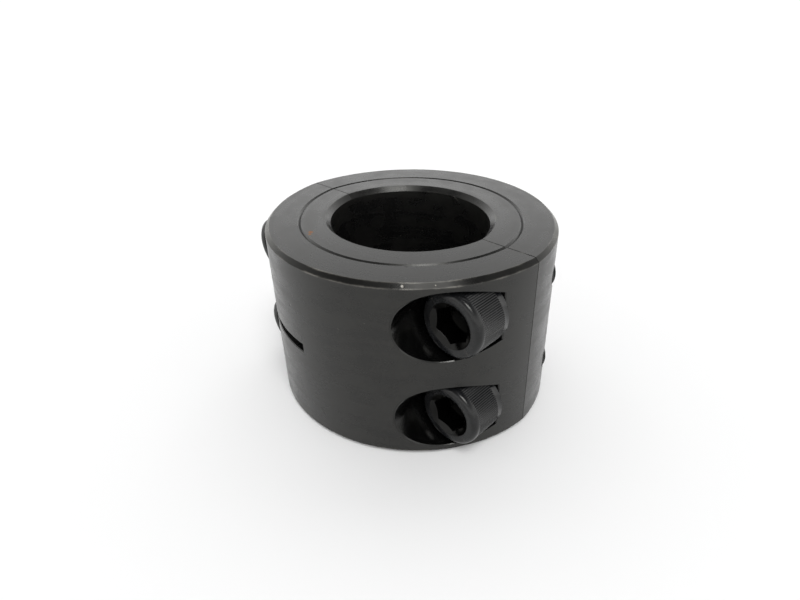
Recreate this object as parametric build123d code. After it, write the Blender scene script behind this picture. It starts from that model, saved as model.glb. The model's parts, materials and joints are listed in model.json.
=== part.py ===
from build123d import *
import math
import os

# Rigid two-piece sleeve coupling, one-inch bore, shown with its saw cut pulled shut.
# Frame: +Z is the bore axis, Y crosses the split, the split plane is Y = 0 and the base is Z = 0.
# The front half lies at -Y and carries the screw heads; the rear half lies at +Y and is tapped.

INCH = 25.4

# Sleeve
OUTER_RADIUS = 1.75 * INCH / 2
BORE_RADIUS = 1.0 * INCH / 2
LENGTH = 27.3
KERF = 2.7  # taken out by the saw that parted the halves after boring
OUTER_CHAMFER = 0.6
BORE_CHAMFER = 0.75
GROOVE_RADIUS = 17.2  # witness ring turned in each end face
GROOVE_WIDTH = 0.55
GROOVE_DEPTH = 0.25
SPLIT_EDGE_BREAK = 0.08
MOUTH_BREAK = 0.12  # chamfer where holes and the slot break out through the round outside

# Cross slot that lets the two ends of the sleeve close on their shafts one by one
SLOT_WIDTH = 1.3
SLOT_END_X = -1.3

# Socket head cap screws, 1/4-28 by 9/16 inch
THREAD_DIAMETER = 0.25 * INCH
THREAD_PITCH = INCH / 28
SCREW_LENGTH = 0.5625 * INCH
HEAD_DIAMETER = 9.3  # a 3/8 inch head at the small end of its tolerance
HEAD_HEIGHT = 0.25 * INCH
HEAD_EDGE = 0.5
HEX_ACROSS_FLATS = 0.1875 * INCH
HEX_DEPTH = 3.2
TIP_CHAMFER = 0.6
TIP_TAPER_LENGTH = 1.0

# Where the screws sit
SCREW_OFFSET_X = 0.6875 * INCH
SCREW_SPACING_Z = 14.5
SEAT_DEPTH = 5.45  # from the split plane to the bottom of the counterbore
COUNTERBORE_RADIUS = 5.035
CLEARANCE_RADIUS = 3.4
TAPPED_RADIUS = 3.25  # a plain wall that clears the screw by a running fit
LEFT_BACKED_OFF_TURNS = 0.5  # the left-hand pair stands this much proud of its seats

MID_HEIGHT = LENGTH / 2
SCREW_HEIGHTS = {"lower": MID_HEIGHT - SCREW_SPACING_Z / 2, "upper": MID_HEIGHT + SCREW_SPACING_Z / 2}
SCREW_SIDES = {"right": SCREW_OFFSET_X, "left": -SCREW_OFFSET_X}
HEX_TURN_DEG = {"right_upper": 0.0, "right_lower": -15.0, "left_upper": 8.0, "left_lower": 22.0}


def along_y(x, y_start, y_end, z, radius):
    """A round rod parallel to Y."""
    place = Plane(origin=(x, y_start, z), x_dir=(1, 0, 0), z_dir=(0, 1, 0))
    return place * Cylinder(radius, y_end - y_start, align=(Align.CENTER, Align.CENTER, Align.MIN))


def turned_sleeve(centre_y):
    """The whole bored and grooved sleeve, as it was before the saw cut, about an axis at centre_y."""
    groove_in = GROOVE_RADIUS - GROOVE_WIDTH / 2
    groove_out = GROOVE_RADIUS + GROOVE_WIDTH / 2
    outline = [
        (BORE_RADIUS, BORE_CHAMFER),
        (BORE_RADIUS + BORE_CHAMFER, 0),
        (groove_in, 0),
        (GROOVE_RADIUS, GROOVE_DEPTH),
        (groove_out, 0),
        (OUTER_RADIUS - OUTER_CHAMFER, 0),
        (OUTER_RADIUS, OUTER_CHAMFER),
        (OUTER_RADIUS, LENGTH - OUTER_CHAMFER),
        (OUTER_RADIUS - OUTER_CHAMFER, LENGTH),
        (groove_out, LENGTH),
        (GROOVE_RADIUS, LENGTH - GROOVE_DEPTH),
        (groove_in, LENGTH),
        (BORE_RADIUS + BORE_CHAMFER, LENGTH),
        (BORE_RADIUS, LENGTH - BORE_CHAMFER),
    ]
    section = Plane.XZ * make_face(Polyline(*outline, close=True))
    return Pos(0, centre_y, 0) * revolve(section, Axis.Z)


def half_sleeve(side):
    """One half of the sawn sleeve, side -1 for the front and +1 for the rear."""
    reach = 2 * OUTER_RADIUS
    keep = Pos(0, side * reach / 2, MID_HEIGHT) * Box(2 * reach, reach, 2 * LENGTH)
    half = turned_sleeve(-side * KERF / 2) & keep
    split_edges = half.edges().filter_by_position(Axis.Y, -0.001, 0.001)
    return chamfer(split_edges, SPLIT_EDGE_BREAK)


def mouth_edges(half, side):
    """The edges where holes and the slot break out through the round outside of a half."""
    centre_y = -side * KERF / 2
    close = 0.002
    beside_split = 0.24

    def is_mouth(edge):
        for share in (0.02, 0.5, 0.98):
            at = edge.position_at(share)
            off_surface = abs(math.hypot(at.X, at.Y - centre_y) - OUTER_RADIUS)
            from_end = min(at.Z, LENGTH - at.Z) - OUTER_CHAMFER
            if off_surface > close or from_end < close or abs(at.Y) < beside_split:
                return False
        return True

    return half.edges().filter_by(is_mouth)


def cross_slot():
    """The saw slot that runs in square from the -X side to just short of the middle."""
    reach = 2 * OUTER_RADIUS
    return Pos(SLOT_END_X - reach / 2, 0, MID_HEIGHT) * Box(reach, 2 * reach, SLOT_WIDTH)


def front_half():
    """The half that the screws pass through, with a deep counterbore for each head."""
    half = half_sleeve(-1) - cross_slot()
    for x in SCREW_SIDES.values():
        for z in SCREW_HEIGHTS.values():
            half -= along_y(x, -2 * OUTER_RADIUS, -SEAT_DEPTH, z, COUNTERBORE_RADIUS)
            half -= along_y(x, -2 * OUTER_RADIUS, OUTER_RADIUS, z, CLEARANCE_RADIUS)
    return chamfer(mouth_edges(half, -1), MOUTH_BREAK)


def rear_half():
    """The tapped half; its holes run right through to the outside."""
    half = half_sleeve(1) - cross_slot()
    for x in SCREW_SIDES.values():
        for z in SCREW_HEIGHTS.values():
            half -= along_y(x, -OUTER_RADIUS, 2 * OUTER_RADIUS, z, TAPPED_RADIUS)
    return chamfer(mouth_edges(half, 1), MOUTH_BREAK)


def cap_screw(hex_turn_deg):
    """A socket head cap screw along +Z, with the underside of its head at Z = 0."""
    head_radius = HEAD_DIAMETER / 2
    shank_radius = THREAD_DIAMETER / 2
    outline = [
        (0, -HEAD_HEIGHT),
        (head_radius - HEAD_EDGE, -HEAD_HEIGHT),
        (head_radius, HEAD_EDGE - HEAD_HEIGHT),
        (head_radius, 0),
        (shank_radius, 0),
        (shank_radius, SCREW_LENGTH - TIP_TAPER_LENGTH),
        (shank_radius - TIP_CHAMFER, SCREW_LENGTH),
        (0, SCREW_LENGTH),
    ]
    blank = revolve(Plane.XZ * make_face(Polyline(*outline, close=True)), Axis.Z)
    corner_radius = HEX_ACROSS_FLATS / math.sqrt(3)
    key_hole = extrude(RegularPolygon(corner_radius, 6, rotation=hex_turn_deg + 30), HEX_DEPTH)
    return blank - Pos(0, 0, -HEAD_HEIGHT) * key_hole


def placed_screw(side, level):
    """One screw in its hole, on its seat or backed off by its stated turns."""
    proud = LEFT_BACKED_OFF_TURNS * THREAD_PITCH if side == "left" else 0.0
    where = Plane(
        origin=(SCREW_SIDES[side], -SEAT_DEPTH - proud, SCREW_HEIGHTS[level]),
        x_dir=(1, 0, 0),
        z_dir=(0, 1, 0),
    )
    return where * cap_screw(HEX_TURN_DEG[f"{side}_{level}"])


def write(name, shape):
    """Saves one sub-part under its node name."""
    shape.label = name
    export_step(shape, f"parts/{name}.step")


os.makedirs("parts", exist_ok=True)
write("front_half", front_half())
write("rear_half", rear_half())
for side_name in SCREW_SIDES:
    for level_name in SCREW_HEIGHTS:
        write(f"cap_screw_{side_name}_{level_name}", placed_screw(side_name, level_name))
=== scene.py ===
"""Looks of a two-piece rigid sleeve coupling in black-oxide steel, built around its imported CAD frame."""

import json
import logging
import math
from collections.abc import Callable
from dataclasses import dataclass, field
from enum import Enum

import bmesh
import bpy
from mathutils import Matrix, Vector


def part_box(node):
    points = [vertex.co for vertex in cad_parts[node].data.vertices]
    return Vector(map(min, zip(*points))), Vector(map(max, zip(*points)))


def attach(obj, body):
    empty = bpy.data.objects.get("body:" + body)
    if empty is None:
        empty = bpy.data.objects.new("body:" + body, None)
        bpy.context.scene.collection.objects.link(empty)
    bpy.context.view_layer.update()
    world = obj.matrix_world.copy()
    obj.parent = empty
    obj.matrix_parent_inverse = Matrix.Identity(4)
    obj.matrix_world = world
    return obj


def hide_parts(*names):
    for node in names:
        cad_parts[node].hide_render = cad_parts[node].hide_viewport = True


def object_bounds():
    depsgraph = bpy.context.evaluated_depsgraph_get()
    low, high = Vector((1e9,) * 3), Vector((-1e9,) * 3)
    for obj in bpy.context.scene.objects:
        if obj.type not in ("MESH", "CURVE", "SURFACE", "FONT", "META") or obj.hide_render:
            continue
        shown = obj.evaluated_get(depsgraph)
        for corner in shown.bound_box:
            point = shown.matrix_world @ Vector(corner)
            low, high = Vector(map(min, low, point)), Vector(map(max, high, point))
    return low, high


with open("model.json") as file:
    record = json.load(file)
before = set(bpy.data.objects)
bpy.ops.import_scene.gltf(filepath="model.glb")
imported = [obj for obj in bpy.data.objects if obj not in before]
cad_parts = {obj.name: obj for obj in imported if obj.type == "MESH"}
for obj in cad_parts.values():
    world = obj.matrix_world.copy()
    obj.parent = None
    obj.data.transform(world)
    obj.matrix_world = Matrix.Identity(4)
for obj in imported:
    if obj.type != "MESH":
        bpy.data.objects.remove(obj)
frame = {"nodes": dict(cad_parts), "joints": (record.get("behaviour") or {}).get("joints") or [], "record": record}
CAD_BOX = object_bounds()
RECORD = frame["record"]
MM = 0.001
SEAT_Y = max(joint["pos_m"][1] for joint in frame["joints"] if joint["type"] == "hinge")
LOG = logging.getLogger("sleeve_coupling")

Socket = bpy.types.NodeSocket
Feed = Socket | float | tuple[float, ...]
Colour = tuple[float, float, float, float]
Around = Callable[[float], float]


def joint_of(body: str) -> dict:
    """The joint that holds a body."""
    return next(joint for joint in frame["joints"] if joint["child"] == body)


class Level(Enum):
    """Which pair of holes a screw is in, along the bore."""

    UPPER = "upper"
    LOWER = "lower"


class Side(Enum):
    """Which end of the split a screw closes."""

    RIGHT = "right"
    LEFT = "left"


class Graph:
    """Adds and joins the nodes of one node tree."""

    def __init__(self, tree: bpy.types.NodeTree) -> None:
        """Works on a tree.

        Args:
            tree: the node tree to fill.
        """
        self.tree = tree

    def node(self, kind: str, feeds: dict[str, Feed] | None = None, **settings: object) -> bpy.types.Node:
        """Adds a node.

        Args:
            kind: the node's type name without its ShaderNode prefix.
            feeds: values or links for its inputs, by input name.
            settings: attributes of the node itself.

        Returns:
            The new node.
        """
        made = self.tree.nodes.new("ShaderNode" + kind)
        for name, value in settings.items():
            setattr(made, name, value)
        for name, value in (feeds or {}).items():
            self.feed(made.inputs[name], value)
        return made

    def feed(self, socket: Socket, value: Feed) -> None:
        """Links a socket to another, or sets its own value.

        Args:
            socket: the input.
            value: an output to link, or a plain value.
        """
        if isinstance(value, bpy.types.NodeSocket):
            self.tree.links.new(value, socket)
        else:
            socket.default_value = value

    def math(self, operation: str, *values: Feed, clamp: bool = False) -> Socket:
        """One arithmetic step.

        Args:
            operation: the Math node's operation.
            values: its inputs in order.
            clamp: whether the result is kept from 0 to 1.

        Returns:
            The result's socket.
        """
        made = self.tree.nodes.new("ShaderNodeMath")
        made.operation = operation
        made.use_clamp = clamp
        for socket, value in zip(made.inputs, values):
            self.feed(socket, value)
        return made.outputs[0]

    def total(self, *values: Feed) -> Socket:
        """The sum of several values.

        Args:
            values: what to add.

        Returns:
            The sum's socket.
        """
        result = values[0]
        for value in values[1:]:
            result = self.math("ADD", result, value)
        return result

    def apart(self, value: Feed, centre: Feed) -> Socket:
        """How far a value is from a centre, to either side.

        Args:
            value: the value.
            centre: the centre.

        Returns:
            The distance's socket.
        """
        return self.math("ABSOLUTE", self.math("SUBTRACT", value, centre))

    def reach(self, across: Socket, along: Socket) -> Socket:
        """How far a point in a plane is from the origin.

        Args:
            across: its first coordinate.
            along: its second coordinate.

        Returns:
            The distance's socket.
        """
        squares = self.total(self.math("MULTIPLY", across, across), self.math("MULTIPLY", along, along))
        return self.math("SQRT", squares)

    def ease(self, value: Feed, low: Feed, high: Feed, start: Feed = 0.0, end: Feed = 1.0) -> Socket:
        """Moves smoothly from one output to another as a value rises.

        Args:
            value: what rises.
            low: where the change begins.
            high: where it is over.
            start: the output below low.
            end: the output above high.

        Returns:
            The result's socket.
        """
        feeds = {"Value": value, "From Min": low, "From Max": high, "To Min": start, "To Max": end}
        return self.node("MapRange", feeds, interpolation_type="SMOOTHSTEP").outputs["Result"]

    def blend(self, share: Feed, first: Feed, second: Feed) -> Socket:
        """Mixes two colours.

        Args:
            share: how much of the second.
            first: a colour.
            second: a colour.

        Returns:
            The mixed colour's socket.
        """
        made = self.tree.nodes.new("ShaderNodeMix")
        made.data_type = "RGBA"
        factor, colour_a, colour_b = made.inputs[0], made.inputs[6], made.inputs[7]
        for socket, value in ((factor, share), (colour_a, first), (colour_b, second)):
            self.feed(socket, value)
        return made.outputs[2]

    def noise(self, vector: Feed, scale: float, detail: float = 3.0) -> Socket:
        """Cloudy noise from 0 to 1.

        Args:
            vector: where it is read.
            scale: how many clouds to a metre.
            detail: how many finer layers it has.

        Returns:
            The noise's socket.
        """
        return self.node("TexNoise", {"Vector": vector, "Scale": scale, "Detail": detail}).outputs[0]

    def bands(self, steps: Feed) -> Socket:
        """Noise that changes along one number alone.

        Args:
            steps: the number, which counts one band to a unit.

        Returns:
            The noise's socket.
        """
        return self.node("TexNoise", {"W": steps, "Scale": 1.0}, noise_dimensions="1D").outputs[0]

    def place(self) -> Socket:
        """The point on the piece, in metres, in its own frame."""
        return self.node("TexCoord").outputs["Object"]

    def split(self, vector: Socket) -> tuple[Socket, Socket, Socket]:
        """The three numbers of a vector.

        Args:
            vector: a vector socket.

        Returns:
            Its X, Y and Z sockets.
        """
        made = self.node("SeparateXYZ", {"Vector": vector})
        return made.outputs[0], made.outputs[1], made.outputs[2]


class Effect:
    """A shader effect that several finishes share, made once as a node group."""

    title = "effect"
    takes: dict[str, float] = {}
    gives: tuple[str, ...] = ("Mask",)

    def fill(self, graph: Graph, given: dict[str, Socket]) -> dict[str, Socket]:
        """Adds the effect's own nodes.

        Args:
            graph: the group's graph.
            given: the group's inputs by name.

        Returns:
            What each output is fed by.
        """
        raise NotImplementedError

    def group(self) -> bpy.types.NodeTree:
        """Finds the effect's node group, or builds it on its first use.

        Returns:
            The node group.
        """
        found = bpy.data.node_groups.get(self.title)
        if found:
            return found
        tree = bpy.data.node_groups.new(self.title, "ShaderNodeTree")
        for name, value in self.takes.items():
            socket = tree.interface.new_socket(name=name, in_out="INPUT", socket_type="NodeSocketFloat")
            socket.default_value = value
        for name in self.gives:
            tree.interface.new_socket(name=name, in_out="OUTPUT", socket_type="NodeSocketFloat")
        inputs = tree.nodes.new("NodeGroupInput")
        outputs = tree.nodes.new("NodeGroupOutput")
        given = {name: inputs.outputs[name] for name in self.takes}
        for name, value in self.fill(Graph(tree), given).items():
            tree.links.new(value, outputs.inputs[name])
        return tree

    def add(self, graph: Graph, **feeds: Feed) -> dict[str, Socket]:
        """Places the effect in a material.

        Args:
            graph: the material's graph.
            feeds: its inputs, with _ in place of a space.

        Returns:
            Its outputs by name.
        """
        made = graph.tree.nodes.new("ShaderNodeGroup")
        made.node_tree = self.group()
        for name, value in feeds.items():
            graph.feed(made.inputs[name.replace("_", " ")], value)
        return {name: made.outputs[name] for name in self.gives}


class TurningMarks(Effect):
    """Fine rings left by the lathe tool, and broader rings of tone, about an axis along Z."""

    title = "turning_marks"
    takes = {"Centre Y": 0.0, "Feed": 0.12 * MM, "Wander": 0.5}
    gives = ("Height", "Tone")

    def fill(self, graph: Graph, given: dict[str, Socket]) -> dict[str, Socket]:
        """Rings of equal distance from the axis, and of equal height.

        Args:
            graph: the group's graph.
            given: the group's inputs by name.

        Returns:
            The Height and Tone sockets.
        """
        at = graph.place()
        x, y, z = graph.split(at)
        reach = graph.reach(x, graph.math("SUBTRACT", y, given["Centre Y"]))
        wander = graph.math("MULTIPLY", graph.noise(at, 90.0), given["Wander"])
        steps = graph.math("DIVIDE", graph.total(reach, z), given["Feed"])
        slow = graph.math("MULTIPLY", steps, 0.08)
        fine, broad = (graph.bands(graph.total(count, wander)) for count in (steps, slow))
        return {"Height": fine, "Tone": broad}


class RimWear(Effect):
    """Broken patches of bare metal along a round edge and its twin at the other end."""

    title = "rim_wear"
    takes = {"Centre Y": 0.0, "Radius": 0.0, "Rise": 0.0, "Middle": 0.0, "Width": 0.2 * MM, "Amount": 0.5}

    def fill(self, graph: Graph, given: dict[str, Socket]) -> dict[str, Socket]:
        """Measures the distance to the edge and breaks it up with noise.

        Args:
            graph: the group's graph.
            given: the group's inputs by name.

        Returns:
            The Mask socket.
        """
        at = graph.place()
        x, y, z = graph.split(at)
        reach = graph.reach(x, graph.math("SUBTRACT", y, given["Centre Y"]))
        off = graph.math("SUBTRACT", reach, given["Radius"])
        rise = graph.math("SUBTRACT", graph.apart(z, given["Middle"]), given["Rise"])
        gap = graph.reach(off, rise)
        ragged = graph.math("MULTIPLY", graph.noise(at, 2600.0, 4.0), given["Width"])
        near = graph.ease(gap, 0.0, graph.math("MULTIPLY", ragged, 2.0), 1.0, 0.0)
        patches = graph.ease(graph.noise(at, 230.0, 5.0), graph.math("SUBTRACT", 0.8, given["Amount"]), 0.85)
        return {"Mask": graph.math("MULTIPLY", near, patches, clamp=True)}


class Scratches(Effect):
    """Hair-fine handling scratches, in two crossing directions."""

    title = "handling_scratches"
    takes = {"Length": 0.06, "Amount": 0.3}

    def fill(self, graph: Graph, given: dict[str, Socket]) -> dict[str, Socket]:
        """Stretches noise along two slanting lines and keeps its peaks.

        Args:
            graph: the group's graph.
            given: the group's inputs by name.

        Returns:
            The Mask socket.
        """
        at = graph.place()
        masks = []
        for turn, offset in ((0.5, 3.0), (-0.9, 11.0)):
            mapping = {"Vector": at, "Rotation": (turn, 0.4 * turn, 1.3 * turn), "Location": (offset,) * 3}
            turned = graph.node("Mapping", mapping).outputs[0]
            stretch = graph.node("CombineXYZ", {"X": 1.0, "Y": given["Length"], "Z": 1.0}).outputs[0]
            drawn = graph.node("VectorMath", {0: turned, 1: stretch}, operation="MULTIPLY").outputs[0]
            streaks = graph.noise(drawn, 5200.0, 1.0)
            start = graph.math("SUBTRACT", 0.84, graph.math("MULTIPLY", given["Amount"], 0.2))
            masks.append(graph.ease(streaks, start, graph.math("ADD", start, 0.05)))
        where = graph.ease(graph.noise(at, 160.0, 2.0), 0.5, 0.68)
        return {"Mask": graph.math("MULTIPLY", graph.math("MAXIMUM", *masks), where, clamp=True)}


class Mottle(Effect):
    """Soft cloudy patches of the oxide's tone, and a fine satin grain."""

    title = "oxide_mottle"
    takes = {"Patch": 260.0, "Grain": 5200.0}
    gives = ("Cloud", "Grain")

    def fill(self, graph: Graph, given: dict[str, Socket]) -> dict[str, Socket]:
        """Two noises of different scale.

        Args:
            graph: the group's graph.
            given: the group's inputs by name.

        Returns:
            The Cloud and Grain sockets.
        """
        at = graph.place()
        feeds = {"Vector": at, "Scale": given["Patch"], "Detail": 5.0, "Roughness": 0.6}
        cloud = graph.node("TexNoise", feeds)
        grain = graph.node("TexNoise", {"Vector": at, "Scale": given["Grain"], "Detail": 2.0})
        return {"Cloud": cloud.outputs[0], "Grain": grain.outputs[0]}


class Specks(Effect):
    """A thin scatter of small round specks."""

    title = "specks"
    takes = {"Count": 420.0, "Size": 0.1, "Share": 0.05}

    def fill(self, graph: Graph, given: dict[str, Socket]) -> dict[str, Socket]:
        """Keeps the middles of a few random cells.

        Args:
            graph: the group's graph.
            given: the group's inputs by name.

        Returns:
            The Mask socket.
        """
        at = graph.place()
        cells = graph.node("TexVoronoi", {"Vector": at, "Scale": given["Count"], "Randomness": 1.0})
        edge = graph.math("MULTIPLY", given["Size"], graph.noise(at, 5200.0, 2.0))
        dot = graph.ease(cells.outputs["Distance"], graph.math("MULTIPLY", edge, 0.6), edge, 1.0, 0.0)
        pick = graph.split(cells.outputs["Color"])[0]
        chosen = graph.math("LESS_THAN", pick, given["Share"])
        return {"Mask": graph.math("MULTIPLY", dot, chosen)}


class CounterboreSkin(Effect):
    """Tells the four counterbores' walls from the rest, so that painted shade can darken them, and gives the
    cutter's feed marks on them.
    """

    title = "counterbore_skin"
    takes = {
        "Off Centre": 0.0, "Rise": 0.0, "Middle": 0.0, "Seat": 0.0,
        "Radius": 5.2 * MM, "Feed": 0.16 * MM,
    }
    gives = ("Mask", "Height")

    def fill(self, graph: Graph, given: dict[str, Socket]) -> dict[str, Socket]:
        """Folds the four hole axes onto one and measures the distance to it.

        Args:
            graph: the group's graph.
            given: the group's inputs by name.

        Returns:
            The Mask and Height sockets.
        """
        x, y, z = graph.split(graph.place())
        across = graph.math("SUBTRACT", graph.math("ABSOLUTE", x), given["Off Centre"])
        rise = graph.math("SUBTRACT", graph.apart(z, given["Middle"]), given["Rise"])
        near = graph.math("LESS_THAN", graph.reach(across, rise), given["Radius"])
        inside = graph.math("MULTIPLY", near, graph.math("LESS_THAN", y, given["Seat"]))
        marks = graph.bands(graph.math("DIVIDE", y, given["Feed"]))
        return {"Mask": inside, "Height": graph.math("MULTIPLY", marks, inside)}


class OuterChamfer(Effect):
    """Picks out the chamfers between the round outside and the end faces, which get painted shade."""

    title = "outer_chamfer"
    takes = {"Centre Y": 0.0, "Radius": 0.0, "Middle": 0.0, "Depth": 0.0}

    def fill(self, graph: Graph, given: dict[str, Socket]) -> dict[str, Socket]:
        """Compares the height and the distance from the axis with the chamfer's inner edges.

        Args:
            graph: the group's graph.
            given: the group's inputs by name.

        Returns:
            The Mask socket.
        """
        x, y, z = graph.split(graph.place())
        reach = graph.reach(x, graph.math("SUBTRACT", y, given["Centre Y"]))
        level = graph.math("ADD", graph.apart(z, given["Middle"]), given["Depth"])
        high = graph.math("GREATER_THAN", level, given["Middle"])
        return {"Mask": graph.math("MULTIPLY", high, graph.math("GREATER_THAN", reach, given["Radius"]))}


class SplitFray(Effect):
    """Light burrs and dust along the two sides of the split."""

    title = "split_fray"
    takes = {"Width": 0.16 * MM, "Middle": 0.0, "Depth": 0.2 * MM}

    def fill(self, graph: Graph, given: dict[str, Socket]) -> dict[str, Socket]:
        """Measures the distance to the split plane and breaks it up with noise.

        Args:
            graph: the group's graph.
            given: the group's inputs by name.

        Returns:
            The Mask socket.
        """
        at = graph.place()
        _, y, z = graph.split(at)
        wander = graph.math("MULTIPLY", graph.noise(at, 700.0, 3.0), given["Width"])
        near = graph.ease(graph.math("ABSOLUTE", y), graph.math("MULTIPLY", wander, 0.4), wander, 1.0, 0.0)
        where = graph.ease(graph.noise(at, 420.0, 4.0), 0.52, 0.62)
        level = graph.math("ADD", graph.apart(z, given["Middle"]), given["Depth"])
        at_face = graph.math("GREATER_THAN", level, given["Middle"])
        return {"Mask": graph.math("MULTIPLY", graph.math("MULTIPLY", near, where), at_face)}


class Mark(Effect):
    """One ragged spot at a stated point."""

    title = "single_mark"
    takes = {"X": 0.0, "Y": 0.0, "Z": 0.0, "Size": 0.4 * MM}

    def fill(self, graph: Graph, given: dict[str, Socket]) -> dict[str, Socket]:
        """Measures the distance to the point and breaks it up with noise.

        Args:
            graph: the group's graph.
            given: the group's inputs by name.

        Returns:
            The Mask socket.
        """
        at = graph.place()
        spot = graph.node("CombineXYZ", {name: given[name] for name in "XYZ"}).outputs[0]
        gap = graph.node("VectorMath", {0: at, 1: spot}, operation="DISTANCE").outputs["Value"]
        uneven = graph.math("MULTIPLY", graph.noise(at, 1900.0, 3.0), 2.0)
        ragged = graph.math("MULTIPLY", given["Size"], uneven)
        return {"Mask": graph.ease(gap, graph.math("MULTIPLY", ragged, 0.35), ragged, 1.0, 0.0)}


@dataclass(frozen=True)
class Spot:
    """A single mark on the sleeve: its direction about the half's own axis, then metres."""

    angle_deg: float
    radius: float
    height: float
    size: float


@dataclass(frozen=True)
class OxideSteel:
    """Black oxide on machined steel, lightly oiled: the look that both finishes start from."""

    name: str
    oxide: Colour
    oxide_light: Colour
    roughness: float
    wear_strength: float = 0.55
    ior: float = 1.46
    bare: Colour = (0.30, 0.285, 0.255, 1.0)
    rust: Colour = (0.20, 0.085, 0.03, 1.0)
    dust: Colour = (0.20, 0.19, 0.165, 1.0)
    # Near-black colour painted into counterbores and the screw socket as painted shade.
    painted_shade: Colour = (0.0015, 0.0015, 0.0015, 1.0)
    tint: Colour = (1.0, 0.995, 0.955, 1.0)
    grain_depth: float = 0.004 * MM
    cloud_share: float = 0.65
    dust_strength: float = 0.5
    roughness_swing: float = 0.06
    dull: float = 0.4
    pocket_gloss: float = 0.12

    def start(self) -> tuple[bpy.types.Material, Graph, bpy.types.Node]:
        """An empty node material with its shader.

        Returns:
            The material, its graph and its Principled shader.
        """
        made = bpy.data.materials.new(self.name)
        made.use_nodes = True
        made.diffuse_color = self.oxide
        graph = Graph(made.node_tree)
        shader = made.node_tree.nodes["Principled BSDF"]
        shader.inputs["IOR"].default_value = self.ior
        shader.inputs["Specular Tint"].default_value = self.tint
        return made, graph, shader

    def finish(self, graph: Graph, shader: bpy.types.Node, skin: dict[str, Feed]) -> None:
        """Joins tone, wear, rust, dust, painted shade and relief to the shader.

        Args:
            graph: the material's graph.
            shader: its Principled shader.
            skin: the sockets Cloud, Tone, Wear, Rust, Dust, Pocket, Shade and Height.
        """
        cloud = graph.math("MULTIPLY", skin["Cloud"], self.cloud_share)
        shade = graph.math("ADD", cloud, graph.math("MULTIPLY", skin["Tone"], 1.0 - self.cloud_share))
        oxide = graph.blend(graph.ease(shade, 0.38, 0.62), self.oxide, self.oxide_light)
        # Painted shade: pocket walls and the screw socket are blended to near-black, standing in for the shade
        # inside those recesses.
        with_painted_shade = graph.blend(skin["PocketPaintedShade"], oxide, self.painted_shade)
        dusty = graph.blend(graph.math("MULTIPLY", skin["Dust"], self.dust_strength), with_painted_shade, self.dust)
        rusted = graph.blend(skin["Rust"], dusty, self.rust)
        worn = graph.blend(graph.math("MULTIPLY", skin["Wear"], self.wear_strength), rusted, self.bare)
        graph.feed(shader.inputs["Base Color"], worn)
        metal = graph.math("MULTIPLY", skin["Wear"], 0.5 * self.wear_strength)
        # Painted shade: the Shade mask turns the outer chamfers and the screw socket partly to near-black metal,
        # which dims their reflections.
        graph.feed(shader.inputs["Metallic"], graph.math("MAXIMUM", metal, skin["Shade"]))
        smoothest, roughest = self.roughness - self.roughness_swing, self.roughness + self.roughness_swing
        rough = graph.ease(shade, 0.34, 0.66, smoothest, roughest)
        matt = graph.math("MULTIPLY", graph.math("MAXIMUM", skin["Rust"], skin["Dust"]), self.dull)
        gloss = graph.math("MULTIPLY", skin["PocketPaintedShade"], -self.pocket_gloss)
        graph.feed(shader.inputs["Roughness"], graph.total(rough, matt, gloss))
        relief = graph.node("Bump", {"Height": skin["Height"], "Strength": 1.0, "Distance": 1.0})
        graph.feed(shader.inputs["Normal"], relief.outputs[0])


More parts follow.
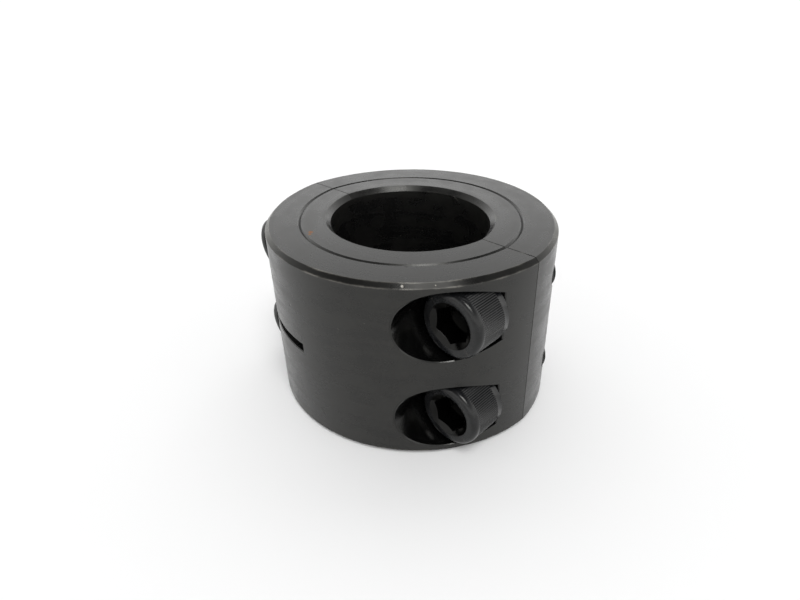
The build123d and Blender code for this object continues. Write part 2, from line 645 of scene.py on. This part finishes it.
@dataclass(frozen=True)
class SleeveFinish(OxideSteel):
    """The finish of a half sleeve: turned, bored and sawn, with worn rims, and painted shade in its counterbores
    and on its outer chamfers.
    """

    centre_y: float = 0.0
    length: float = 0.0
    chamfer_radius: float = 0.0
    chamfer_depth: float = 0.0
    rims: tuple[tuple[float, float, float], ...] = ()
    nicks: tuple[Spot, ...] = ()
    rust_spots: tuple[Spot, ...] = ()
    pits: tuple[Spot, ...] = ()
    screw_off_centre: float = 0.0
    screw_rise: float = 0.0
    seat_y: float = 0.0
    feed: float = 0.13 * MM
    feed_depth: float = 0.0022 * MM
    pocket_depth: float = 0.006 * MM
    wear_depth: float = 0.012 * MM
    pit_depth: float = 0.03 * MM
    scratch_strength: float = 0.4
    fray_strength: float = 0.7
    # How strongly painted shade darkens the outer chamfers, as near-black metal.
    chamfer_shade: float = 0.55

    def material(self) -> bpy.types.Material:
        """Builds the finish.

        Returns:
            The finished material.
        """
        made, graph, shader = self.start()
        middle = self.length / 2
        turned = TurningMarks().add(graph, Centre_Y=self.centre_y, Feed=self.feed, Wander=1.5)
        oxide = Mottle().add(graph)
        # The counterbore mask carries painted shade: the counterbore walls are painted near-black.
        pocket = CounterboreSkin().add(
            graph, Off_Centre=self.screw_off_centre, Rise=self.screw_rise, Middle=middle, Seat=self.seat_y
        )
        scratches = Scratches().add(graph, Length=0.05, Amount=0.35)["Mask"]
        wear: Feed = graph.math("MULTIPLY", scratches, self.scratch_strength)
        for radius, rise, amount in self.rims:
            rim = RimWear().add(
                graph, Centre_Y=self.centre_y, Radius=radius, Rise=rise, Middle=middle, Amount=amount
            )
            wear = graph.math("MAXIMUM", wear, rim["Mask"])
        # Painted shade: the outer chamfers are darkened by making them partly near-black metal.
        chamfer = OuterChamfer().add(
            graph, Centre_Y=self.centre_y, Radius=self.chamfer_radius, Middle=middle, Depth=self.chamfer_depth
        )
        fray = SplitFray().add(graph, Middle=middle)["Mask"]
        wear = graph.math("MAXIMUM", wear, graph.math("MULTIPLY", fray, self.fray_strength))
        wear = self.with_spots(graph, wear, self.nicks)
        rust = Specks().add(graph, Count=330.0, Size=0.12, Share=0.012)["Mask"]
        rust = self.with_spots(graph, rust, self.rust_spots)
        pits = Specks().add(graph, Count=260.0, Size=0.07, Share=0.05)["Mask"]
        pits = self.with_spots(graph, pits, self.pits)
        dust = Specks().add(graph, Count=640.0, Size=0.085, Share=0.14)["Mask"]
        height = graph.total(
            graph.math("MULTIPLY", turned["Height"], self.feed_depth),
            graph.math("MULTIPLY", oxide["Grain"], self.grain_depth),
            graph.math("MULTIPLY", pocket["Height"], self.pocket_depth),
            graph.math("MULTIPLY", wear, -self.wear_depth),
            graph.math("MULTIPLY", pits, -self.pit_depth),
        )
        skin = {
            "Cloud": oxide["Cloud"], "Tone": turned["Tone"], "Wear": wear, "Rust": rust,
            "Dust": dust, "PocketPaintedShade": pocket["Mask"],
            "Shade": graph.math("MULTIPLY", chamfer["Mask"], self.chamfer_shade), "Height": height,
        }
        self.finish(graph, shader, skin)
        return made

    def with_spots(self, graph: Graph, mask: Feed, spots: tuple[Spot, ...]) -> Feed:
        """Adds single spots to a mask.

        Args:
            graph: the material's graph.
            mask: the mask so far.
            spots: the spots to add.

        Returns:
            The mask with the spots.
        """
        for spot in spots:
            mask = graph.math("MAXIMUM", mask, self.spot_mask(graph, spot))
        return mask

    def spot_mask(self, graph: Graph, spot: Spot) -> Socket:
        """The mask of one mark on the sleeve.

        Args:
            graph: the material's graph.
            spot: where it is and how large.

        Returns:
            The mask's socket.
        """
        angle = math.radians(spot.angle_deg)
        feeds = {
            "X": spot.radius * math.cos(angle),
            "Y": self.centre_y + spot.radius * math.sin(angle),
            "Z": spot.height,
            "Size": spot.size,
        }
        return Mark().add(graph, **feeds)["Mask"]


@dataclass(frozen=True)
class ScrewFinish(OxideSteel):
    """The finish of a cap screw: a bluer black, worn on the crests that a key and a tray rub, with painted shade
    in its hex socket.
    """

    crest_wear: float = 0.25
    socket_radius: float = 3.3 * MM
    socket_floor: float = -2.6 * MM
    # How strongly painted shade darkens the hex socket, as near-black metal.
    socket_shade: float = 0.5

    def material(self) -> bpy.types.Material:
        """Builds the finish.

        Returns:
            The finished material.
        """
        made, graph, shader = self.start()
        oxide = Mottle().add(graph, Patch=700.0, Grain=9000.0)
        crests = graph.ease(graph.node("NewGeometry").outputs["Pointiness"], 0.53, 0.62)
        patches = graph.ease(oxide["Cloud"], 0.48, 0.7)
        wear = graph.math("MULTIPLY", graph.math("MULTIPLY", crests, patches), self.crest_wear)
        rust = Specks().add(graph, Count=600.0, Size=0.14, Share=0.02)["Mask"]
        height = graph.math("MULTIPLY", oxide["Grain"], self.grain_depth)
        x, y, z = graph.split(graph.place())
        # Painted shade: the hex socket and its countersink are painted near-black and turned partly to near-black
        # metal.
        core = graph.ease(graph.reach(x, y), self.socket_radius, self.socket_radius - 0.1 * MM)
        socket = graph.math("MULTIPLY", core, graph.math("LESS_THAN", z, self.socket_floor))
        dust = Specks().add(graph, Count=900.0, Size=0.08, Share=0.1)["Mask"]
        skin = {
            "Cloud": oxide["Cloud"], "Tone": oxide["Cloud"], "Wear": wear, "Rust": rust,
            "Dust": dust, "PocketPaintedShade": socket,
            "Shade": graph.math("MULTIPLY", socket, self.socket_shade), "Height": height,
        }
        self.finish(graph, shader, skin)
        return made


class RingSkin:
    """A closed skin of rings with equal counts of points, closed to a point at each end."""

    def __init__(self, count: int) -> None:
        """Starts with no rings.

        Args:
            count: how many points each ring has.
        """
        self.count = count
        self.rings: list[list[Vector]] = []

    def ring(self, radius: Around | float, height: Around | float) -> None:
        """Adds a ring about Z.

        Args:
            radius: its radius, or a function from the angle to it.
            height: its height, or a function from the angle to it.
        """
        points = []
        for step in range(self.count):
            angle = math.tau * step / self.count
            reach = radius(angle) if callable(radius) else radius
            rise = height(angle) if callable(height) else height
            points.append(Vector((reach * math.cos(angle), reach * math.sin(angle), rise)))
        self.rings.append(points)

    def add_to(self, mesh: bmesh.types.BMesh, first: float, last: float) -> None:
        """Adds the skin to a mesh.

        Args:
            mesh: where it goes.
            first: the height of the point that closes the first ring.
            last: the height of the point that closes the last ring.
        """
        made = [[mesh.verts.new(point) for point in ring] for ring in self.rings]
        for lower, upper in zip(made, made[1:]):
            for here in range(self.count):
                after = (here + 1) % self.count
                mesh.faces.new((lower[here], lower[after], upper[after], upper[here]))
        for ring, height, flip in ((made[0], first, True), (made[-1], last, False)):
            pole = mesh.verts.new((0.0, 0.0, height))
            for here in range(self.count):
                pair = (ring[here], ring[(here + 1) % self.count])
                mesh.faces.new((pole, pair[1], pair[0]) if flip else (pole, pair[0], pair[1]))


@dataclass(frozen=True)
class ThreadForm:
    """A sixty-degree screw thread, as the depth it is cut to at each share of its pitch."""

    pitch: float = 25.4 / 28 * MM
    outline: tuple[tuple[float, float], ...] = (
        (0.0, 0.0), (0.125, 0.0), (0.23, 0.31), (0.335, 0.62), (0.43, 0.9),
        (0.5625, 1.0), (0.695, 0.9), (0.79, 0.62), (0.895, 0.31),
    )
    segments: int = 72

    def wind(
        self,
        mesh: bmesh.types.BMesh,
        start: float,
        end: Around,
        reach: Callable[[float, float], float],
        blunt: Around,
    ) -> None:
        """Adds a threaded surface along Z whose vertices follow the helix.

        Args:
            mesh: where it goes.
            start: the height of its lower end.
            end: the height of its upper end, from the angle.
            reach: the radius, from the depth of cut and the height.
            blunt: the radius where an end cuts the thread off, from the height.
        """
        rows = len(self.outline)
        ends = [end(math.tau * step / self.segments) for step in range(self.segments)]
        turns = math.ceil((max(ends) - start) / self.pitch) + 2
        base = math.floor(start / self.pitch) - 1
        grid: list[list[bmesh.types.BMVert]] = []
        for row in range(turns * rows + 1):
            share, depth = self.outline[row % rows]
            verts = []
            for step in range(self.segments):
                angle = math.tau * step / self.segments
                height = self.pitch * (base + row // rows + share + step / self.segments)
                level = min(max(height, start), ends[step])
                radius = reach(depth, level) if level == height else blunt(level)
                verts.append(mesh.verts.new((radius * math.cos(angle), radius * math.sin(angle), level)))
            grid.append(verts)
        for row in range(len(grid) - 1):
            for step in range(self.segments):
                if step + 1 < self.segments:
                    beyond = (grid[row][step + 1], grid[row + 1][step + 1])
                else:
                    beyond = tuple(grid[min(row + rows + extra, len(grid) - 1)][0] for extra in (0, 1))
                corners = list(dict.fromkeys((grid[row][step], *beyond, grid[row + 1][step])))
                if len(corners) > 2:
                    mesh.faces.new(corners)


def put(name: str, data: bpy.types.ID) -> bpy.types.Object:
    """Puts a mesh, lamp or camera into the scene.

    Args:
        name: the object's name.
        data: what it shows.

    Returns:
        The new object.
    """
    made = bpy.data.objects.new(name, data)
    bpy.context.scene.collection.objects.link(made)
    return made


def as_piece(
    name: str, mesh: bmesh.types.BMesh, sharp_deg: float = 32.0, tube: bool = False
) -> bpy.types.Object:
    """Turns a built mesh into a smooth-shaded piece with crisp edges.

    Args:
        name: the piece's name.
        mesh: the mesh, which is used up.
        sharp_deg: edges that turn by more than this stay crisp.
        tube: whether its two open ends are joined by a wall, and not closed one by one.

    Returns:
        The new object, linked to the scene.
    """
    bmesh.ops.remove_doubles(mesh, verts=mesh.verts, dist=0.002 * MM)
    bmesh.ops.dissolve_degenerate(mesh, edges=mesh.edges, dist=0.001 * MM)
    loops = [edge for edge in mesh.edges if edge.is_boundary]
    if loops and tube:
        bmesh.ops.bridge_loops(mesh, edges=loops)
    elif loops:
        bmesh.ops.holes_fill(mesh, edges=loops, sides=0)
    bmesh.ops.recalc_face_normals(mesh, faces=mesh.faces)
    for face in mesh.faces:
        face.smooth = True
    for edge in mesh.edges:
        edge.smooth = len(edge.link_faces) == 2 and edge.calc_face_angle(0.0) < math.radians(sharp_deg)
    data = bpy.data.meshes.new(name)
    mesh.to_mesh(data)
    mesh.free()
    return put(name, data)


@dataclass
class CapScrew:
    """A socket head cap screw: knurled head, rounded shoulder, hex socket and cut thread."""

    side: Side
    level: Level
    key_turn_deg: float
    seat: Vector = field(init=False)
    head_radius: float = field(init=False)
    head_height: float = field(init=False)
    length: float = field(init=False)
    teeth: int = 98
    tooth_depth: float = 0.11 * MM
    samples: int = 588
    ring_radius: float = 3.95 * MM
    shoulder_drop: float = 0.75 * MM
    socket_flats: float = 4.7625 * MM
    socket_depth: float = 3.2 * MM
    countersink_radius: float = 3.22 * MM
    knurl_start: float = 1.0 * MM
    knurl_end: float = 1.2 * MM
    tip_chamfer: float = 0.6 * MM
    tip_taper: float = 1.0 * MM
    crest_radius: float = 3.15 * MM
    thread_depth: float = 0.56 * MM
    countersink_deg: float = 30.0
    drill_share: float = 0.97
    drill_point_deg: float = 28.0
    edge_soft: float = 0.03 * MM
    knurl_run_in: float = 0.22 * MM
    knurl_run_out: float = 0.1 * MM
    foot_height: float = 0.3 * MM
    foot_chamfer: float = 0.25 * MM
    shoulder_steps: int = 8

    def __post_init__(self) -> None:
        """Takes the screw's place and size from its CAD node and joint."""
        low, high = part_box(self.node)
        self.seat = Vector(joint_of(self.body)["pos_m"])
        self.head_radius = (high.x - low.x) / 2
        self.head_height = self.seat.y - low.y
        self.length = high.y - self.seat.y

    @property
    def node(self) -> str:
        """The name of its CAD node."""
        return f"cap_screw_{self.side.value}_{self.level.value}"

    @property
    def body(self) -> str:
        """The name of its CAD body."""
        return f"screw_{self.side.value}_{self.level.value}"

    def hexagon(self, angle: float) -> float:
        """How far the socket's wall is from the axis.

        Args:
            angle: the direction, in radians.

        Returns:
            The distance in metres.
        """
        sixth = math.tau / 6
        turned = (angle - math.radians(self.key_turn_deg)) % sixth - sixth / 2
        return self.socket_flats / 2 / math.cos(turned + sixth / 2 if turned < 0 else turned - sixth / 2)

    def knurl(self, angle: float) -> float:
        """The knurled radius: a flat crest and a valley for each tooth.

        Args:
            angle: the direction, in radians.

        Returns:
            The radius in metres.
        """
        share = angle / math.tau * self.teeth % 1.0
        depth = min(1.0, max(0.0, 2.2 * (0.5 - abs(share - 0.5)) - 0.15))
        return self.head_radius - depth * self.tooth_depth

    def mouth(self, angle: float) -> float:
        """The height where the countersink meets the socket's wall.

        Args:
            angle: the direction, in radians.

        Returns:
            The height in metres.
        """
        slope = math.tan(math.radians(self.countersink_deg))
        return -self.head_height + (self.countersink_radius - self.hexagon(angle)) * slope

    def head(self, mesh: bmesh.types.BMesh) -> None:
        """Adds the head, from the bottom of its socket round to its underside.

        Args:
            mesh: where it goes.
        """
        face = -self.head_height
        floor = face + self.socket_depth
        drill = self.socket_flats / 2 * self.drill_share
        shoulder = self.head_radius - self.ring_radius
        skin = RingSkin(self.samples)
        skin.ring(drill, floor)
        skin.ring(self.hexagon, floor)
        skin.ring(self.hexagon, lambda angle: self.mouth(angle) + 2 * self.edge_soft)
        skin.ring(lambda angle: self.hexagon(angle) + self.edge_soft, self.mouth)
        skin.ring(self.countersink_radius - 0.04 * MM, face + self.edge_soft)
        skin.ring(self.countersink_radius + self.edge_soft, face)
        skin.ring(self.ring_radius - 0.05 * MM, face)
        for step in range(self.shoulder_steps + 1):
            bend = math.radians(90) * step / self.shoulder_steps
            drop = self.shoulder_drop * (1 - math.cos(bend))
            skin.ring(self.ring_radius + shoulder * math.sin(bend), face + drop)
        skin.ring(self.head_radius, face + self.knurl_start)
        skin.ring(self.knurl, face + self.knurl_start + self.knurl_run_in)
        skin.ring(self.knurl, -self.knurl_end - self.knurl_run_out)
        skin.ring(self.head_radius, -self.knurl_end)
        skin.ring(self.head_radius - self.edge_soft, -self.knurl_end + self.knurl_run_out)
        skin.ring(self.head_radius - self.edge_soft, -self.foot_height)
        skin.ring(self.head_radius - self.foot_chamfer, 0.0)
        skin.add_to(mesh, floor + drill * math.tan(math.radians(self.drill_point_deg)), 0.0)

    def taper(self, level: float) -> float:
        """The largest radius that the pointed tip allows at a height.

        Args:
            level: the height in metres.

        Returns:
            The radius in metres.
        """
        past = max(0.0, level - self.length + self.tip_taper)
        return self.crest_radius - past * self.tip_chamfer / self.tip_taper

    def thread(self, mesh: bmesh.types.BMesh) -> None:
        """Adds the threaded shank.

        Args:
            mesh: where it goes.
        """
        root = self.crest_radius - self.thread_depth
        ThreadForm().wind(
            mesh,
            -self.foot_height,
            lambda angle: self.length,
            lambda depth, level: min(self.crest_radius - depth * self.thread_depth, self.taper(level)),
            lambda level: min(root, self.taper(level)),
        )

    def build(self, finish: bpy.types.Material) -> bpy.types.Object:
        """Builds the screw in place.

        Args:
            finish: its material.

        Returns:
            The screw's piece.
        """
        head, shank = bmesh.new(), bmesh.new()
        self.head(head)
        self.thread(shank)
        parts = [as_piece(self.node + "_detailed", head), as_piece(self.node + "_shank", shank, 40.0)]
        made = join(parts)
        turned_out = (self.seat.y - SEAT_Y) / ThreadForm().pitch
        place = Matrix.Translation(self.seat) @ Matrix.Rotation(math.tau * turned_out, 4, "Y")
        made.matrix_world = place @ Matrix.Rotation(math.radians(-90), 4, "X")
        made.data.materials.clear()
        made.data.materials.append(finish)
        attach(made, self.body)
        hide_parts(self.node)
        return made


def join(parts: list[bpy.types.Object]) -> bpy.types.Object:
    """Puts the meshes of several objects into the first.

    Args:
        parts: objects that share one frame.

    Returns:
        The first object.
    """
    whole = bmesh.new()
    for part in parts:
        whole.from_mesh(part.data)
    whole.to_mesh(parts[0].data)
    whole.free()
    for part in parts[1:]:
        bpy.data.objects.remove(part)
    return parts[0]


@dataclass
class TappedThread:
    """The thread cut in one of the rear half's holes, as a thin skin just inside the hole's wall."""

    side: Side
    level: Level
    outer_radius: float = 3.27 * MM
    root_radius: float = 3.22 * MM
    crest_radius: float = 2.82 * MM
    mouth_gap: float = 0.16 * MM
    start_y: float = 0.15 * MM
    place: Vector = field(init=False)
    back_y: float = field(init=False)

    def __post_init__(self) -> None:
        """Takes the hole's place from the joint of its screw."""
        self.back_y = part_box("rear_half")[1].y
        x, _, z = joint_of(f"screw_{self.side.value}_{self.level.value}")["pos_m"]
        self.place = Vector((x, SEAT_Y, z))

    def mouth(self, angle: float) -> float:
        """How far the thread runs before the round outside of the sleeve cuts it.

        Args:
            angle: the direction about the hole, in radians.

        Returns:
            The height above the seats in metres.
        """
        radius = Sleeve.outer_radius
        across = self.place.x + self.outer_radius * math.cos(angle)
        return self.back_y - radius + math.sqrt(radius**2 - across**2) - self.mouth_gap - self.place.y

    def build(self, finish: bpy.types.Material) -> bpy.types.Object:
        """Builds the thread in place.

        Args:
            finish: its material.

        Returns:
            The thread's piece.
        """
        mesh = bmesh.new()
        ThreadForm().wind(
            mesh,
            self.start_y - self.place.y,
            self.mouth,
            lambda depth, level: self.root_radius - depth * (self.root_radius - self.crest_radius),
            lambda level: self.outer_radius,
        )
        made = as_piece(f"tapped_thread_{self.side.value}_{self.level.value}", mesh, 45.0, tube=True)
        made.matrix_world = Matrix.Translation(self.place) @ Matrix.Rotation(math.radians(-90), 4, "X")
        made.data.materials.append(finish)
        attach(made, "rear_half")
        return made


@dataclass
class Sleeve:
    """The two half sleeves, which keep their CAD shape and get a finish each."""

    outer_radius: float = 22.225 * MM
    chamfer: float = 0.6 * MM
    bore_chamfer: float = 0.75 * MM
    kerf: float = 2.7 * MM
    margin: float = 0.025 * MM
    bore_radius: float = field(init=False)
    length: float = field(init=False)

    def __post_init__(self) -> None:
        """Takes the bore and the length from the record's mount."""
        bore = next(m for m in RECORD["mounts"] if m["name"] == "shaft_bore")
        self.bore_radius = bore["dims"]["r_mm"] * MM
        self.length = bore["dims"]["length_mm"] * MM

    def rims(self) -> tuple[tuple[float, float, float], ...]:
        """Lists the worn round edges.

        Returns:
            Each edge's radius, its rise from mid height and how worn it is.
        """
        half = self.length / 2
        return (
            (self.outer_radius, half - self.chamfer, 0.42),
            (self.outer_radius - self.chamfer, half, 0.42),
            (self.bore_radius + self.bore_chamfer, half, 0.22),
            (self.bore_radius, half - self.bore_chamfer, 0.2),
        )

    def nicks(self) -> tuple[Spot, ...]:
        """Lists the bright nicks in the front half's upper rim.

        Returns:
            The nicks.
        """
        rim = self.outer_radius - self.chamfer / 2
        top = self.length - self.chamfer / 2
        return (Spot(-51.8, rim, top, 0.26 * MM), Spot(-41.6, rim, top, 0.12 * MM))

    def rust_spots(self) -> tuple[Spot, ...]:
        """Lists the rust spots on the front half's upper face.

        Returns:
            The spots.
        """
        return (
            Spot(-113.0, 16.2 * MM, self.length, 0.46 * MM),
            Spot(-110.6, 16.55 * MM, self.length, 0.3 * MM),
        )

    def pits(self) -> tuple[Spot, ...]:
        """Lists the pits in the front half's side.

        Returns:
            The pits.
        """
        return (
            Spot(-98.4, self.outer_radius, 19.85 * MM, 0.26 * MM),
            Spot(-94.0, self.outer_radius, 19.35 * MM, 0.22 * MM),
        )

    def finish(self, name: str, side: int) -> SleeveFinish:
        """The finish of one half.

        Args:
            name: the half's CAD node.
            side: -1 for the front half and 1 for the rear half.

        Returns:
            The finish.
        """
        off_centre, _, height = joint_of("screw_right_upper")["pos_m"]
        return SleeveFinish(
            name="black_oxide_" + name,
            oxide=(0.0045, 0.0045, 0.0045, 1.0),
            oxide_light=(0.008, 0.0078, 0.0072, 1.0),
            roughness=0.29,
            centre_y=-side * self.kerf / 2,
            length=self.length,
            chamfer_radius=self.outer_radius - self.chamfer + self.margin,
            chamfer_depth=self.chamfer - self.margin,
            rims=self.rims(),
            nicks=self.nicks() if side < 0 else (),
            rust_spots=self.rust_spots() if side < 0 else (),
            pits=self.pits() if side < 0 else (),
            screw_off_centre=off_centre,
            screw_rise=height - self.length / 2,
            seat_y=SEAT_Y + 2 * self.margin if side < 0 else -self.outer_radius * 2,
        )

    def dress(self) -> list[bpy.types.Object]:
        """Gives each half its finish.

        Returns:
            The two halves.
        """
        made = []
        for name, side in (("front_half", -1), ("rear_half", 1)):
            half = frame["nodes"][name]
            half.data.materials.clear()
            half.data.materials.append(self.finish(name, side).material())
            made.append(half)
        return made


@dataclass
class Studio:
    """A plain pale floor, soft light all round, a lamp overhead, a panel behind and the camera."""

    azimuth_deg: float = 44.5
    elevation_deg: float = 31.06
    roll_deg: float = 1.91
    distance: float = 93.39 * MM
    target: Vector = field(default_factory=lambda: Vector((-1.273, -1.251, 12.57)) * MM)
    lens: float = 26.09
    floor_reach: float = 6.0
    paper_dark: Colour = (0.87, 0.87, 0.87, 1.0)
    paper_light: Colour = (0.9, 0.9, 0.9, 1.0)
    wall_strength: float = 1.7
    ceiling_strength: float = 0.2
    lamp_azimuth_deg: float = 54.5
    lamp_elevation_deg: float = 60.0
    lamp_breadth_deg: float = 27.0
    lamp_strength: float = 1.5
    panel_size: tuple[float, float] = (1.6, 1.0)
    panel_height: float = 1.2
    panel_back: float = 0.85
    panel_power: float = 5.5

    def floor(self) -> bpy.types.Object:
        """Lays the floor.

        Returns:
            The floor's object.
        """
        mesh = bmesh.new()
        bmesh.ops.create_circle(mesh, cap_ends=True, segments=96, radius=self.floor_reach)
        made = as_piece("floor", mesh)
        made.location.z = CAD_BOX[0].z
        paper = bpy.data.materials.new("pale_paper")
        paper.use_nodes = True
        graph = Graph(paper.node_tree)
        shader = paper.node_tree.nodes["Principled BSDF"]
        cloud = graph.noise(graph.place(), 14.0, 4.0)
        graph.feed(shader.inputs["Base Color"], graph.blend(cloud, self.paper_dark, self.paper_light))
        shader.inputs["Roughness"].default_value = 0.75
        shader.inputs["Specular IOR Level"].default_value = 0.2
        made.data.materials.append(paper)
        return made

    def surroundings(self) -> None:
        """A white room that darkens towards its ceiling."""
        world = bpy.data.worlds.new("soft_room")
        world.use_nodes = True
        bpy.context.scene.world = world
        graph = Graph(world.node_tree)
        direction = graph.node("TexCoord").outputs["Generated"]
        rise = graph.split(direction)[2]
        fall = graph.ease(rise, 0.25, 0.8, self.wall_strength, self.ceiling_strength)
        light = world.node_tree.nodes["Background"]
        graph.feed(light.inputs["Strength"], fall)
        light.inputs["Color"].default_value = (1.0, 1.0, 1.0, 1.0)

    def lamp(self) -> None:
        """Hangs the broad soft lamp that lights the front from overhead."""
        data = bpy.data.lights.new("overhead_lamp", "SUN")
        data.energy = self.lamp_strength
        data.angle = math.radians(self.lamp_breadth_deg)
        made = put("overhead_lamp", data)
        away = direction_from(self.lamp_azimuth_deg, self.lamp_elevation_deg)
        made.rotation_euler = (-away).to_track_quat("-Z", "Y").to_euler()

    def panel(self) -> None:
        """Hangs the wide panel behind the object that lights the floor there."""
        data = bpy.data.lights.new("rear_panel", "AREA")
        data.shape = "RECTANGLE"
        data.size, data.size_y = self.panel_size
        data.energy = self.panel_power
        made = put("rear_panel", data)
        away = direction_from(self.azimuth_deg, 0.0)
        made.location = -away * self.panel_back + Vector((0.0, 0.0, self.panel_height))
        made.rotation_euler.z = math.radians(self.azimuth_deg)

    def camera(self) -> None:
        """Places the camera."""
        data = bpy.data.cameras.new("camera")
        data.lens = self.lens
        data.sensor_width = 36.0
        data.clip_start = 0.005
        data.clip_end = 50.0
        made = put("camera", data)
        back = direction_from(self.azimuth_deg, self.elevation_deg)
        turn = (-back).to_track_quat("-Z", "Y").to_matrix().to_4x4()
        roll = Matrix.Rotation(math.radians(-self.roll_deg), 4, "Z")
        made.matrix_world = Matrix.Translation(self.target + back * self.distance) @ turn @ roll
        bpy.context.scene.camera = made

    def build(self) -> None:
        """Sets up the whole studio."""
        bpy.context.scene.view_settings.view_transform = "Standard"
        self.floor()
        self.surroundings()
        self.lamp()
        self.panel()
        self.camera()


def direction_from(azimuth_deg: float, elevation_deg: float) -> Vector:
    """The direction from the object to a viewer.

    Args:
        azimuth_deg: 0 is from -Y, 90 from +X.
        elevation_deg: the height above the horizon.

    Returns:
        A unit vector.
    """
    azimuth, elevation = math.radians(azimuth_deg), math.radians(elevation_deg)
    flat = math.cos(elevation)
    return Vector((math.sin(azimuth) * flat, -math.cos(azimuth) * flat, math.sin(elevation)))


def main() -> None:
    """Builds each sub-assembly in order and reports its pieces."""
    logging.basicConfig(level=logging.INFO, format="%(message)s")
    for half in Sleeve().dress():
        LOG.info("dressed %s", half.name)
    finish = ScrewFinish(
        name="black_oxide_cap_screw",
        oxide=(0.005, 0.0052, 0.0058, 1.0),
        oxide_light=(0.009, 0.0095, 0.0105, 1.0),
        roughness=0.22,
        ior=1.38,
    ).material()
    screws = (
        CapScrew(Side.RIGHT, Level.UPPER, 0.0),
        CapScrew(Side.RIGHT, Level.LOWER, -15.0),
        CapScrew(Side.LEFT, Level.UPPER, 8.0),
        CapScrew(Side.LEFT, Level.LOWER, 22.0),
    )
    for screw in screws:
        LOG.info("built %s", screw.build(finish).name)
        thread = TappedThread(screw.side, screw.level)
        LOG.info("built %s", thread.build(finish).name)
    Studio().build()


if __name__ == "__main__":
    main()
